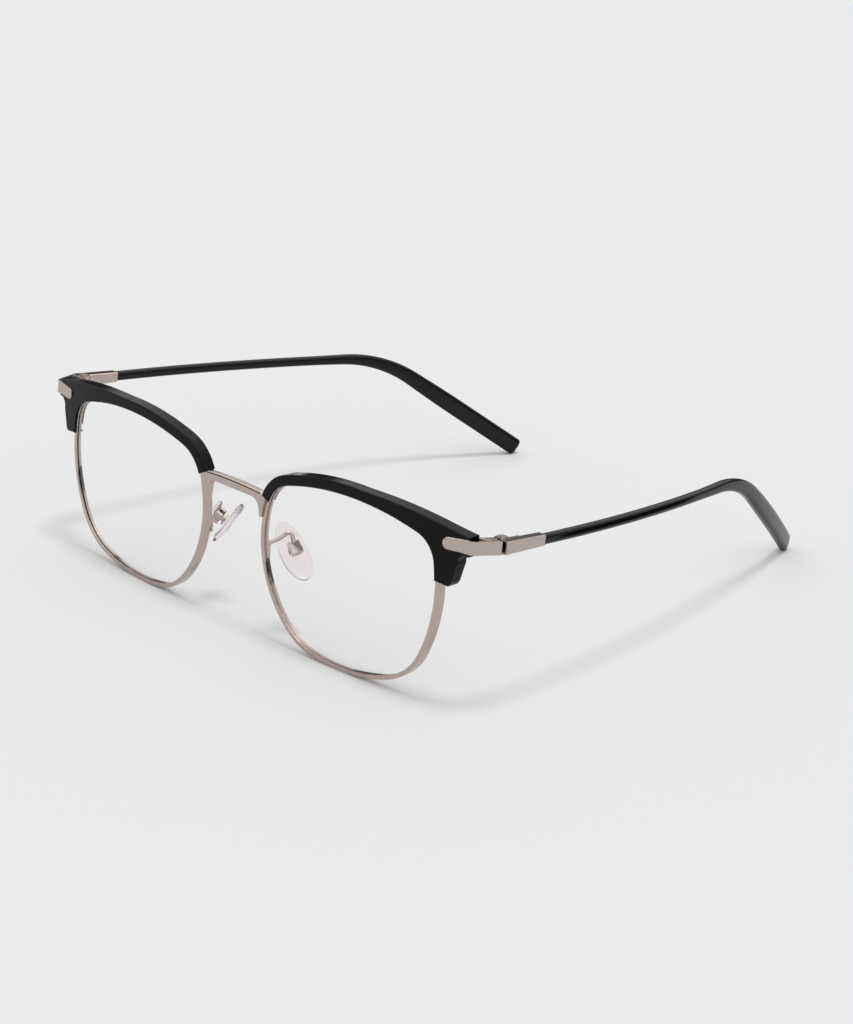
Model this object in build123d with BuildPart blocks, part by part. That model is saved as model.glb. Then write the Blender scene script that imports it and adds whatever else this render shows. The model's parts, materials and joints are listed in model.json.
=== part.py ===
from build123d import *
import math
import os

# Browline spectacles standing open on a table, in millimetres.
# +X is the wearer's left, -Y the front and +Z up. The left half is drawn, with y = 0 at the nasal
# edge of the rim, and mirrored. At the end the origin moves to the middle of the footprint.

# ---- marked sizes ----
lens_width = 53.0
nose_gap = 20.0
temple_length = 145.0

# ---- lens outline, four bulged sides with rounded corners, about the datum centre ----
lens_rise = 18.9
lens_drop = 23.1
top_nasal_in, top_nasal_down = 3.2, 4.35
top_temporal_in, top_temporal_down = 1.53, 4.25
low_temporal_in, low_temporal_up = 7.5, 4.7
low_nasal_in, low_nasal_up = 12.7, 1.55
top_bulge, temporal_bulge, bottom_bulge, nasal_bulge = 4.3, 4.0, 2.9, 7.3
top_nasal_radius, top_temporal_radius = 9.8, 7.8
low_temporal_radius, low_nasal_radius = 15.6, 15.0
lens_thickness = 1.0
lens_set_forward = 0.2

# ---- curve of the front ----
face_radius = 262.0
wrap_angle = 3.3

# ---- rim ----
rim_depth = 2.0
rim_inside = 0.7
rim_outside = 0.3
seam_height = 10.0
seam_gap = 0.12

# ---- brow cover ----
brow_rise = 1.8
brow_wall = 0.6
brow_edge = 0.25
brow_reach = 7.3
leg_bottom = 5.6
leg_waist_level = 11.0
side_bottom = 12.6
brow_tail = 13.5

# ---- bridge ----
bridge_height = 2.15
bridge_depth = 2.0
bridge_edge = 0.55
bridge_under_edge = 0.35
bridge_set_forward = 0.35
bridge_leg = 1.1
bridge_leg_end = 5.8
bridge_inner_radius = 2.6
bridge_crown = 0.1
leg_taper = 0.4
bridge_level = 10.8

# ---- endpiece and hinge ----
hinge_out = 8.9
hinge_y = 11.6
hinge_z = 38.3
flare_angle = 22.7
block_height = 3.0
block_thickness = 2.5
plate_height = 2.8
plate_thickness = 0.8
plate_proud = 0.35
plate_edge = 0.12
plate_tip = 27.5
plate_reach = 7.2
plate_slope = 0.35
plate_join = 1.0
corner_back = 9.4
corner_radius = 1.8
corner_inset = 0.75
block_thick_y = 6.75
strap_overlap = 2.2
strap_lowered = 0.1
face_skin = 0.03
strap_thickness = 0.9
strap_height = 2.4
butt_gap = 2.2
leaf_thickness = 0.9
leaf_length = 5.4
front_leaf_length = 4.3
leaf_inset = 0.1
leaf_clear_height = 0.4
knuckle_radius = 1.3
knuckle_gap = 0.1
end_knuckle = 1.0
middle_knuckle = 1.2
hinge_bore = 0.55
hinge_pin = 0.5
hinge_head = 0.95
hinge_head_height = 0.5
hinge_head_proud = 0.15
slot_width = 0.3
swing_clearance = 0.1

# ---- rim lock and brow fixing ----
lock_width = 2.5
lock_height = 3.2
lock_screw_radius = 0.45
lock_head_radius = 0.8
lock_head_height = 0.5
lock_screw_set_out = 0.15
lock_hole_short = 0.5
head_chamfer = 0.15
slot_depth = 0.25
fixing_radius = 0.5
fixing_head_radius = 0.95
fixing_head_height = 0.5
fixing_depth = 3.0

# ---- temple ----
housing_front = 1.6
housing_length = 10.8
housing_height = 3.0
housing_thickness = 2.65
housing_end_height = 2.6
housing_end_thickness = 2.4
housing_chamfer = 0.3
temple_height = 2.35
temple_thickness = 2.2
tip_height = 4.7
tip_thickness = 2.4
tip_bevel = 1.2
core_radius = 0.6
core_start = 5.0
core_end_gap = 10.0
tip_sag = 0.11
sleeve_rounding = 0.42
tip_face = 0.6
tip_face_drop = 1.2
walk_steps = 400
temple_curve_radius = 370.0
ear_bend_back = 63.0
ear_bend_radius = 43.0
ear_bend_angle = 30.4
tip_swell_ahead = 12.0
tip_swell_back = 22.0
loft_spans = 16

# ---- nose pads ----
pad_x, pad_y, pad_z = 11.75, 7.75, 19.5
pad_lean = 41.0
pad_splay = 27.0
pad_length = 14.7
pad_width = 7.0
pad_thickness = 1.8
pad_round = 0.7
pad_pivot = 2.6
insert_radius = 1.4
insert_plate = 0.4
tab_thickness = 0.7
tab_radius = 0.7
box_wall = 0.8
box_length = 3.2
box_mouth = 1.9
pad_screw_radius = 0.35
pad_screw_head = 0.6
arm_radius = 0.5
foot_length = 3.8
foot_width = 0.9
foot_thickness = 0.6
foot_drop = 0.3
arm_rise = (1.2, 1.7, 1.35)
arm_top = (2.05, 4.9, 3.0)
arm_rounding = (0.6, 1.2, 0.8)
box_round = 0.3
pad_head_height = 0.35

# ---- fits ----
fit = 0.05
side_gap = 0.1

# ---- worked out ----
reach = 14.0
half_rim = rim_depth / 2
brow_back = half_rim + fit + brow_wall
lens_x = nose_gap / 2 + lens_width / 2
hinge_x = lens_x + lens_width / 2 + hinge_out
ear_bend_start = temple_length - ear_bend_back
lens_z = lens_drop + rim_outside
lens_plane = Plane(origin=(lens_x, 0, lens_z), x_dir=(1, 0, 0), z_dir=(0, -1, 0))
sphere_x = lens_x - face_radius * math.sin(math.radians(wrap_angle))
sphere_y = math.sqrt(face_radius**2 - (nose_gap / 2 - sphere_x) ** 2)
sphere_centre = (sphere_x, sphere_y, lens_z)


def face_depth(x, z, ahead):
    """The y of the front's curved surface at x and z, a distance ahead of the rim's middle."""
    flat = (x - sphere_x) ** 2 + (z - lens_z) ** 2
    return sphere_y - math.sqrt((face_radius + ahead) ** 2 - flat)


def curved(outline, front, back):
    """A front-view outline made solid between two spheres, ahead of and behind the rim's middle."""
    with BuildPart() as piece:
        with BuildSketch(lens_plane):
            add(outline)
        extrude(amount=reach, both=True)
        with Locations(sphere_centre):
            Sphere(face_radius + front, mode=Mode.INTERSECT)
            Sphere(face_radius - back, mode=Mode.SUBTRACT)
    return piece.part


# ---- lens outline ----
half_width = lens_width / 2
top_nasal = (-half_width + top_nasal_in, lens_rise - top_nasal_down)
top_temporal = (half_width - top_temporal_in, lens_rise - top_temporal_down)
low_temporal = (half_width - low_temporal_in, -lens_drop + low_temporal_up)
low_nasal = (-half_width + low_nasal_in, -lens_drop + low_nasal_up)
corner_radii = (
    (top_nasal, top_nasal_radius),
    (top_temporal, top_temporal_radius),
    (low_temporal, low_temporal_radius),
    (low_nasal, low_nasal_radius),
)
with BuildSketch() as lens_edge:
    with BuildLine():
        SagittaArc(top_nasal, top_temporal, top_bulge)
        SagittaArc(top_temporal, low_temporal, temporal_bulge)
        SagittaArc(low_temporal, low_nasal, bottom_bulge)
        SagittaArc(low_nasal, top_nasal, nasal_bulge)
    make_face()
    for corner, radius in corner_radii:
        fillet(lens_edge.vertices().sort_by_distance(corner)[0], radius)
lens_box = lens_edge.sketch.bounding_box()
print("lens outline", lens_box.min, lens_box.max)


def lens_face(grow):
    """The lens outline grown outwards by an amount, arc by arc about each arc's own centre."""
    with BuildSketch() as grown:
        with BuildLine():
            for edge in lens_edge.edges():
                centre = edge.arc_center
                scale = 1 + grow / edge.radius
                ThreePointArc(*(centre + (edge @ along - centre) * scale for along in (0, 0.5, 1)))
        make_face()
    return grown.sketch


rim_outer = lens_face(rim_outside)
rim_opening = lens_face(-rim_inside)
brow_upper = lens_face(brow_rise)
pieces = {}

# ---- rim: a grooved ring with a seam on its temporal side ----
rim_band = curved(rim_outer, half_rim, half_rim)
lens_front = lens_thickness / 2 + lens_set_forward
lens_back = lens_thickness / 2 - lens_set_forward
rim_groove = curved(lens_face(fit), lens_front + fit, lens_back + fit)
with BuildSketch() as seam_cut:
    with Locations((half_width, seam_height)):
        Rectangle(6, seam_gap)
with BuildPart() as rim:
    add(rim_band)
    with BuildSketch(lens_plane):
        add(rim_opening)
    extrude(amount=reach, both=True, mode=Mode.SUBTRACT)
    add(rim_groove, mode=Mode.SUBTRACT)
    with BuildSketch(lens_plane):
        add(seam_cut.sketch)
    extrude(amount=reach, both=True, mode=Mode.SUBTRACT)
pieces["rim"] = rim.part

# ---- lens: a curved disc whose edge sits in the groove ----
pieces["lens"] = curved(lens_edge.sketch, lens_front, lens_back)

# ---- endpiece: plate on the brow, corner, side block and strap behind the brow ----
flare = math.tan(math.radians(flare_angle))
across = 1 / math.cos(math.radians(flare_angle))
block_outer = (leaf_thickness / 2 + block_thickness) * across
block_inner = leaf_thickness / 2 * across


def temple_heading(s):
    """Inward turn of the temple, in radians, at a distance behind the hinge."""
    return s / temple_curve_radius


def temple_walk(pitch, length):
    """Point, inward turn and pitch at a distance along the temple's middle line."""
    x = hinge_x + leaf_thickness / 2 + housing_thickness / 2
    y, z = hinge_y, hinge_z
    step = length / walk_steps
    bend_length = ear_bend_radius * math.radians(ear_bend_angle)
    for index in range(walk_steps):
        s = (index + 0.5) * step
        turn = temple_heading(s)
        drop = pitch + min(max(s - ear_bend_start, 0), bend_length) / ear_bend_radius
        x -= step * math.sin(turn) * math.cos(drop)
        y += step * math.cos(turn) * math.cos(drop)
        z -= step * math.sin(drop)
    drop = pitch + min(max(length - ear_bend_start, 0), bend_length) / ear_bend_radius
    return (x, y, z), temple_heading(length), drop


# The pitch at which the bevelled tips just reach the table, found by halving.
low_pitch, high_pitch = -0.3, 0.6
for _ in range(40):
    pitch = (low_pitch + high_pitch) / 2
    tip_point, _, tip_drop = temple_walk(pitch, temple_length - tip_bevel)
    if tip_point[2] - tip_height / 2 * math.cos(tip_drop) > tip_sag:
        low_pitch = pitch
    else:
        high_pitch = pitch
print("temple pitch", math.degrees(pitch))

hinge_axis = Vector(0, math.sin(pitch), math.cos(pitch))
hinge_plane = Plane(
    origin=(hinge_x, hinge_y, hinge_z),
    x_dir=(0, math.cos(pitch), -math.sin(pitch)),
    z_dir=hinge_axis,
)


def on_block(back, side):
    """A point of the side block: a distance behind the hinge, and outwards from the flare line."""
    return (back, -flare * back - side)


# The plate's outline in the front view, level with the block at the corner and lower at its tip.
plate_end = half_width + plate_reach
plate_end_level = hinge_z + corner_back * math.tan(pitch) - lens_z
plate_tip_level = plate_end_level - plate_slope
tip_centre = plate_tip + plate_height / 2
tip_top = (tip_centre, plate_tip_level + plate_height / 2)
tip_low = (tip_centre, plate_tip_level - plate_height / 2)
end_top = (plate_end, plate_end_level + block_height / 2)
end_low = (plate_end, plate_end_level - block_height / 2)
with BuildSketch() as plate_outline:
    with BuildLine():
        Polyline(tip_top, end_top, end_low, tip_low)
        ThreePointArc(tip_low, (plate_tip, plate_tip_level), tip_top)
    make_face()
plate_front = brow_back + plate_proud
with BuildPart() as front_plate:
    add(curved(plate_outline.sketch, plate_front, plate_thickness - plate_front))
    chamfer(front_plate.faces().sort_by(Axis.Y)[0].edges(), plate_edge)

# The strap's outline: a bar behind the brow, with a foot that drops to the rim lock.
strap_level = plate_end_level - strap_lowered
strap_foot = seam_height + seam_gap / 2
lock_inner = half_width + rim_outside
lock_outer = lock_inner + lock_width
with BuildSketch() as strap_outline:
    with BuildLine():
        Polyline(
            (lock_inner, strap_foot),
            (lock_outer, strap_foot),
            (lock_outer, strap_level - strap_height / 2),
            (plate_end + strap_overlap, strap_level - strap_height / 2),
            (plate_end + strap_overlap, strap_level + strap_height / 2),
            (lock_inner, strap_level + strap_height / 2),
            close=True,
        )
    make_face()
    add(rim_outer, mode=Mode.SUBTRACT)
strap = curved(strap_outline.sketch, -brow_back, brow_back + strap_thickness)

# The block's plan: outer face, corner, back along the front plate, wrap and thick rear part.
plate_join_x = lens_x + plate_end - plate_join
join_front = face_depth(plate_join_x, lens_z + plate_end_level, plate_front - face_skin)
join_slope = math.tan(math.asin((plate_join_x - sphere_x) / (face_radius + plate_front)))
outer_start = hinge_x + block_outer
corner_y = (
    join_front + join_slope * (outer_start - flare * hinge_y - plate_join_x)
) / (1 - join_slope * flare)
corner_x = outer_start + flare * (corner_y - hinge_y)


def in_plan(x, y):
    """A point of the hinge plane above or below a place on the table."""
    return ((y - hinge_y) / math.cos(pitch), hinge_x - x)


thick_start = (hinge_y - block_thick_y) / math.cos(pitch)
with BuildSketch(hinge_plane.offset(-block_height / 2)) as block_plan:
    with BuildLine():
        Polyline(
            on_block(-butt_gap, block_outer),
            in_plan(corner_x, corner_y),
            in_plan(plate_join_x, join_front),
            in_plan(plate_join_x, join_front + plate_thickness - 2 * face_skin),
            in_plan(corner_x - corner_inset, corner_y + corner_inset),
            on_block(-thick_start, block_outer - plate_thickness * across),
            on_block(-thick_start, block_inner),
            on_block(-butt_gap, block_inner),
            close=True,
        )
    make_face()
    fillet(block_plan.vertices().sort_by_distance(in_plan(corner_x, corner_y))[0], corner_radius)
with BuildPart() as endpiece:
    extrude(block_plan.sketch, amount=block_height, dir=hinge_axis)
    add(front_plate.part)
    add(strap)
pieces["endpiece"] = endpiece.part

# ---- rim lock: two blocks soldered to the rim across its seam, pulled together by a screw ----
lock_bottom = seam_height - seam_gap / 2 - lock_height
lock_top = seam_height + seam_gap / 2 + lock_height
lock_mid = (lock_inner + lock_outer) / 2 + lock_screw_set_out
with BuildSketch() as lock_upper_outline:
    with Locations(((lock_inner + lock_outer) / 2, lock_top - lock_height / 2)):
        Rectangle(lock_width + 2, lock_height)
    with Locations((lock_outer + 2, lock_top)):
        Rectangle(4, 4 * lock_height, mode=Mode.SUBTRACT)
    add(rim_outer, mode=Mode.SUBTRACT)
with BuildSketch() as lock_lower_outline:
    with Locations(((lock_inner + lock_outer) / 2, lock_bottom + lock_height / 2)):
        Rectangle(lock_width + 2, lock_height)
    with Locations((lock_outer + 2, lock_bottom)):
        Rectangle(4, 4 * lock_height, mode=Mode.SUBTRACT)
    add(rim_outer, mode=Mode.SUBTRACT)
lock_x = lens_x + lock_mid
lock_y = face_depth(lock_x, lens_z + seam_height, 0)
lock_screw_plane = Plane(origin=(lock_x, lock_y, lens_z + lock_bottom), z_dir=(0, 0, 1))
upper_block = curved(lock_upper_outline.sketch, half_rim, brow_back)
lower_block = curved(lock_lower_outline.sketch, half_rim, half_rim)
with BuildPart() as lock_upper:
    add(upper_block)
    with BuildSketch(lock_screw_plane):
        Circle(lock_screw_radius + fit)
    extrude(amount=2 * lock_height - lock_hole_short, mode=Mode.SUBTRACT)
with BuildPart() as lock_lower:
    add(lower_block)
    with BuildSketch(lock_screw_plane):
        Circle(lock_screw_radius + fit)
    extrude(amount=2 * lock_height, mode=Mode.SUBTRACT)
with BuildPart() as lock_screw:
    with BuildSketch(lock_screw_plane):
        Circle(lock_screw_radius)
    extrude(amount=2 * lock_height - lock_hole_short - side_gap)
    with BuildSketch(lock_screw_plane):
        Circle(lock_head_radius)
    extrude(amount=-lock_head_height)
    chamfer(lock_screw.faces().sort_by(Axis.Z)[0].edges(), head_chamfer)
    with BuildSketch(lock_screw_plane.offset(-lock_head_height)):
        Rectangle(4 * lock_head_radius, slot_width)
    extrude(amount=slot_depth, mode=Mode.SUBTRACT)
pieces["rim_lock_upper"] = lock_upper.part
pieces["rim_lock_lower"] = lock_lower.part
pieces["rim_lock_screw"] = lock_screw.part

# ---- brow: front view outline of the band, the outer end and the leg ----
side_x = half_width + brow_reach
nasal_cut = ((-half_width - brow_tail, 18.4), (-half_width - 1.0, 11.6), (-half_width + 6.5, 7.55))
leg_inner = (half_width - 1.3, leg_bottom + 0.45)
leg_low = (half_width + 2.9, leg_bottom)
leg_out = (half_width + 3.5, leg_bottom + 0.8)
leg_waist = (half_width + 4.7, leg_waist_level)
side_low = (side_x, side_bottom + 0.6)
side_under = (side_x - 2.2, side_bottom)
inside_band = ((20.0, 8.0), (2.0, 12.0))
side_top = (side_x, lens_rise - 1.3)
band_top = (3.0, lens_rise + brow_rise - 0.08)
with BuildSketch() as brow_outline:
    with BuildLine():
        Spline(
            band_top,
            (half_width / 2, lens_rise + brow_rise - 0.3),
            (half_width - 2.5, lens_rise + 0.35),
            side_top,
            tangents=((1, 0), (1, -0.14)),
        )
        Line(side_top, side_low)
        ThreePointArc(side_low, side_under, leg_waist)
        Polyline(leg_waist, leg_out, leg_low, leg_inner, *inside_band, band_top)
    make_face()
    add(brow_upper)
    add(rim_opening, mode=Mode.SUBTRACT)
    with BuildLine():
        Polyline(
            *nasal_cut,
            (0, leg_bottom + 1.0),
            leg_inner,
            leg_low,
            (side_x + 1, leg_bottom),
            (side_x + 1, half_width),
            (-half_width - brow_tail, half_width),
            close=True,
        )
    make_face(mode=Mode.INTERSECT)
with BuildSketch() as lock_pocket:
    with Locations((half_width + 1.3, seam_height - 0.2)):
        Rectangle(2 * lock_width - 0.6, 2 * lock_height + 0.9)
with BuildPart() as brow_block:
    add(curved(brow_outline.sketch, brow_back, brow_back))
    chamfer(brow_block.faces().filter_by(GeomType.SPHERE).edges(), brow_edge)
channel = curved(lens_face(rim_outside + fit), half_rim + fit, half_rim + fit)
pocket = curved(lock_pocket.sketch, half_rim + fit, brow_back + 1)

# The screw that holds the brow to the strap, square to the table's edge.
fixing_x = lens_x + half_width + 5.2
fixing_z = lens_z + strap_level
fixing_seat = face_depth(fixing_x, fixing_z, -brow_back - strap_thickness / 2)
fixing_plane = Plane(origin=(fixing_x, fixing_seat, fixing_z), x_dir=(1, 0, 0), z_dir=(0, -1, 0))
with BuildPart() as fixing_hole:
    with BuildSketch(fixing_plane):
        Circle(fixing_radius + fit)
    extrude(amount=fixing_depth + fit)
    with BuildSketch(fixing_plane):
        Circle(fixing_head_radius + fit)
    extrude(amount=-3)
with BuildPart() as brow_screw:
    with BuildSketch(fixing_plane):
        Circle(fixing_radius)
    extrude(amount=fixing_depth)
    with BuildSketch(fixing_plane):
        Circle(fixing_head_radius)
    extrude(amount=-fixing_head_height)
    chamfer(brow_screw.faces().sort_by(Axis.Y)[-1].edges(), head_chamfer)
    with BuildSketch(fixing_plane.offset(-fixing_head_height)):
        Rectangle(4 * fixing_head_radius, slot_width)
    extrude(amount=slot_depth, mode=Mode.SUBTRACT)
pieces["brow_screw"] = brow_screw.part
with BuildPart() as endpiece_drilled:
    add(endpiece.part)
    add(fixing_hole.part, mode=Mode.SUBTRACT)
pieces["endpiece"] = endpiece_drilled.part
with BuildPart() as brow:
    add(brow_block.part)
    add(channel, mode=Mode.SUBTRACT)
    add(pocket, mode=Mode.SUBTRACT)
    add(endpiece.part, mode=Mode.SUBTRACT)
    add(fixing_hole.part, mode=Mode.SUBTRACT)
pieces["brow"] = brow.part

# ---- hinge: two end knuckles on a leaf of the front, one middle knuckle on a leaf of the temple ----
half_middle = middle_knuckle / 2
half_barrel = half_middle + knuckle_gap + end_knuckle
with BuildSketch() as leaf_trim:
    with Locations((-knuckle_radius - side_gap - leaf_length / 2, 0)):
        Rectangle(leaf_length, 2 * leaf_length)
with BuildPart() as hinge_front:
    with BuildSketch(hinge_plane.offset(-half_barrel)) as front_leaf:
        with BuildLine():
            Polyline(
                on_block(0, leaf_thickness / 2 * across),
                on_block(-front_leaf_length, block_inner),
                on_block(-front_leaf_length, block_inner - leaf_thickness * across),
                on_block(0, -leaf_thickness / 2 * across),
                close=True,
            )
        make_face()
        Circle(knuckle_radius)
    extrude(amount=2 * half_barrel)
    with BuildSketch(hinge_plane.offset(-half_middle - knuckle_gap)):
        Circle(knuckle_radius + swing_clearance)
    extrude(amount=2 * (half_middle + knuckle_gap), mode=Mode.SUBTRACT)
    with BuildSketch(hinge_plane.offset(block_height / 2 - leaf_inset)):
        add(leaf_trim.sketch)
    extrude(amount=half_barrel, mode=Mode.SUBTRACT)
    with BuildSketch(hinge_plane.offset(-block_height / 2 + leaf_inset)):
        add(leaf_trim.sketch)
    extrude(amount=-half_barrel, mode=Mode.SUBTRACT)
    with BuildSketch(hinge_plane.offset(-half_barrel)):
        Circle(hinge_bore)
    extrude(amount=2 * half_barrel, mode=Mode.SUBTRACT)
    with BuildSketch(hinge_plane.offset(half_barrel)):
        Circle(hinge_head + fit)
    extrude(amount=-hinge_head_height, mode=Mode.SUBTRACT)
    add(endpiece.part, mode=Mode.SUBTRACT)
pieces["hinge_leaf_front"] = hinge_front.part

temple_leaf_start = knuckle_radius + 2 * swing_clearance
with BuildPart() as hinge_temple:
    with BuildSketch(hinge_plane.offset(-half_middle)):
        Circle(knuckle_radius)
        with Locations((leaf_length / 2, 0)):
            Rectangle(leaf_length, leaf_thickness)
    extrude(amount=middle_knuckle)
    with BuildSketch(hinge_plane.offset((leaf_clear_height - housing_end_height) / 2)):
        with Locations(((temple_leaf_start + leaf_length) / 2, 0)):
            Rectangle(leaf_length - temple_leaf_start, leaf_thickness)
    extrude(amount=housing_end_height - leaf_clear_height)
    with BuildSketch(hinge_plane.offset(-half_middle)):
        Circle(hinge_bore)
    extrude(amount=middle_knuckle, mode=Mode.SUBTRACT)
pieces["hinge_leaf_temple"] = hinge_temple.part

with BuildPart() as hinge_screw:
    with BuildSketch(hinge_plane.offset(-half_barrel)):
        Circle(hinge_pin)
    extrude(amount=2 * half_barrel - hinge_head_height)
    with BuildSketch(hinge_plane.offset(half_barrel - hinge_head_height)):
        Circle(hinge_head)
    extrude(amount=hinge_head_height + hinge_head_proud)
    with BuildSketch(hinge_plane.offset(half_barrel + hinge_head_proud)):
        Rectangle(4 * hinge_head, slot_width)
    extrude(amount=-slot_depth, mode=Mode.SUBTRACT)
pieces["hinge_screw"] = hinge_screw.part


# ---- temple: housing, core wire and sleeve, lofted along the temple's path ----
def temple_plane(s):
    """The cross-section plane at a distance behind the hinge, x inwards and y up."""
    point, turn, drop = temple_walk(pitch, s)
    tangent = (-math.sin(turn) * math.cos(drop), math.cos(turn) * math.cos(drop), -math.sin(drop))
    return Plane(origin=point, x_dir=(-math.cos(turn), -math.sin(turn), 0), z_dir=tangent)


def blend(s, start, end):
    """A smooth rise from 0 at start to 1 at end."""
    t = min(max((s - start) / (end - start), 0), 1)
    return t * t * (3 - 2 * t)


def sleeve_size(s):
    """Height and thickness of the sleeve at a distance behind the hinge."""
    grown = blend(s, ear_bend_start - tip_swell_ahead, temple_length - tip_swell_back)
    height = temple_height + (tip_height - temple_height) * grown
    thickness = temple_thickness + (tip_thickness - temple_thickness) * grown
    return height, thickness


tip_start = temple_length - tip_bevel
core_end = temple_length - core_end_gap


def stations(start, end):
    """Evenly spaced distances behind the hinge, for a loft along the temple."""
    return [start + (end - start) * index / loft_spans for index in range(loft_spans + 1)]


with BuildPart() as sleeve:
    for s in stations(housing_length, tip_start):
        height, thickness = sleeve_size(s)
        with BuildSketch(temple_plane(s)):
            RectangleRounded(thickness, height, sleeve_rounding * thickness)
    loft()
    height, thickness = sleeve_size(tip_start)
    with BuildSketch(temple_plane(tip_start)):
        RectangleRounded(thickness, height, sleeve_rounding * thickness)
    with BuildSketch(temple_plane(temple_length)):
        width = thickness * tip_face
        RectangleRounded(width, height - tip_face_drop * tip_bevel, sleeve_rounding * width)
    loft()
with BuildPart() as core:
    for s in stations(core_start, core_end):
        with BuildSketch(temple_plane(s)):
            Circle(core_radius)
    loft()
pieces["temple_core"] = core.part
with BuildPart() as core_bore:
    for s in stations(core_start, core_end):
        with BuildSketch(temple_plane(s)):
            Circle(core_radius + fit)
    loft()
with BuildPart() as sleeve_bored:
    add(sleeve.part)
    add(core_bore.part, mode=Mode.SUBTRACT)
pieces["temple_sleeve"] = sleeve_bored.part

taper = (housing_thickness - housing_end_thickness) / 2
with BuildPart() as housing:
    with BuildSketch(temple_plane(0).offset(-housing_front)):
        Rectangle(housing_thickness, housing_height)
    with BuildSketch(temple_plane(housing_length)):
        with Locations((taper, 0)):
            Rectangle(housing_end_thickness, housing_end_height)
    loft(ruled=True)
    chamfer(housing.edges().filter_by(lambda edge: edge.length > housing_length), housing_chamfer)
    with BuildSketch(hinge_plane.offset(-housing_height)):
        Circle(knuckle_radius + swing_clearance)
    extrude(amount=2 * housing_height, mode=Mode.SUBTRACT)
    add(core_bore.part, mode=Mode.SUBTRACT)
    add(hinge_temple.part, mode=Mode.SUBTRACT)
pieces["temple_housing"] = housing.part

# ---- bridge: a bar between the rims whose ends run down their nasal sides ----
bar_top = lens_z + bridge_level + bridge_height / 2
bar_low = lens_z + bridge_level - bridge_height / 2
leg_x = nose_gap / 2 - rim_outside - bridge_leg
bridge_back = bridge_depth / 2 - bridge_set_forward
bridge_plane = Plane(origin=(0, bridge_back, 0), x_dir=(1, 0, 0), z_dir=(0, -1, 0))
rim_outer_placed = Pos(lens_x, lens_z, 0) * rim_outer
cut_low, cut_high = nasal_cut[2], nasal_cut[1]
cut_slope = (cut_high[1] - cut_low[1]) / (cut_high[0] - cut_low[0])
cut_start = (lens_x + cut_high[0] - bridge_crown, lens_z + cut_high[1] - bridge_crown * cut_slope - fit)
cut_end = (lens_x + cut_low[0], lens_z + cut_low[1] - fit)
leg_foot = lens_z + bridge_leg_end
leg_corner = (cut_end[0], leg_foot)
leg_tip = (leg_x + leg_taper, leg_foot)
leg_root = (leg_x - 0.1, bar_low)


def across_nose(point):
    """The same point on the other side of the nose."""
    return (-point[0], point[1])


def on_top(edge):
    """Whether an edge of the bridge is one of its two long upper edges."""
    return edge.length > nose_gap / 2 and edge.center().Z > bar_low + bridge_height / 2


def underneath(edge):
    """Whether an edge of the bridge runs along its underside, between the legs."""
    middle = edge @ 0.5
    return edge.length > bridge_depth and middle.Z < bar_low + fit and abs(middle.X) < leg_x


with BuildSketch(bridge_plane) as bridge_outline:
    with BuildLine():
        ThreePointArc(across_nose(cut_start), (0, bar_top), cut_start)
        Polyline(cut_start, cut_end, leg_corner, leg_tip, leg_root, across_nose(leg_root))
        Polyline(across_nose(leg_root), across_nose(leg_tip), across_nose(leg_corner))
        Polyline(across_nose(leg_corner), across_nose(cut_end), across_nose(cut_start))
    make_face()
    for root in (leg_root, across_nose(leg_root)):
        fillet(bridge_outline.vertices().sort_by_distance(root)[0], bridge_inner_radius)
    add(rim_outer_placed, mode=Mode.SUBTRACT)
    add(mirror(rim_outer_placed, about=Plane.YZ), mode=Mode.SUBTRACT)
with BuildPart() as bridge:
    extrude(bridge_outline.sketch, amount=bridge_depth)
    fillet(bridge.edges().filter_by(on_top), bridge_edge)
    fillet(bridge.edges().filter_by(underneath), bridge_under_edge)

# ---- nose pad: pad, insert, box, screw and arm about the pad's own plane ----
lean, splay = math.radians(pad_lean), math.radians(pad_splay)
pad_down = Vector(math.sin(lean), 0, -math.cos(lean))
pad_flat = Vector(-math.cos(lean), 0, -math.sin(lean))
pad_normal = pad_flat * math.cos(splay) + Vector(0, 1, 0) * math.sin(splay)
pad_centre = Vector(pad_x, pad_y, pad_z)
pad_plane = Plane(origin=pad_centre, x_dir=pad_down, z_dir=pad_normal)
pivot = pad_centre - pad_normal * pad_pivot
pivot_axis = pad_plane.y_dir
# Looking along the pivot: x runs down the pad and y away from the nose.
pivot_plane = Plane(origin=pivot, x_dir=pad_down, z_dir=pivot_axis)
away = 1 if pivot_plane.y_dir.dot(pad_normal) < 0 else -1
with BuildPart() as nose_pad:
    with BuildSketch(pad_plane):
        Ellipse(pad_length / 2, pad_width / 2)
    extrude(amount=pad_thickness / 2, both=True)
    fillet(nose_pad.edges(), pad_round)
pieces["nose_pad"] = nose_pad.part

plate_level = pad_pivot - pad_thickness / 2
with BuildPart() as pad_insert:
    with BuildSketch(pad_plane.offset(-pad_thickness / 2)):
        Circle(insert_radius)
    extrude(amount=-insert_plate)
    with BuildSketch(pivot_plane):
        Circle(tab_radius)
        with Locations((0, -away * plate_level / 2)):
            Rectangle(2 * tab_radius, plate_level)
    extrude(amount=tab_thickness / 2, both=True)
    with BuildSketch(pivot_plane):
        Circle(pad_screw_radius + fit)
    extrude(amount=tab_thickness, both=True, mode=Mode.SUBTRACT)
pieces["pad_insert"] = pad_insert.part

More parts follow.
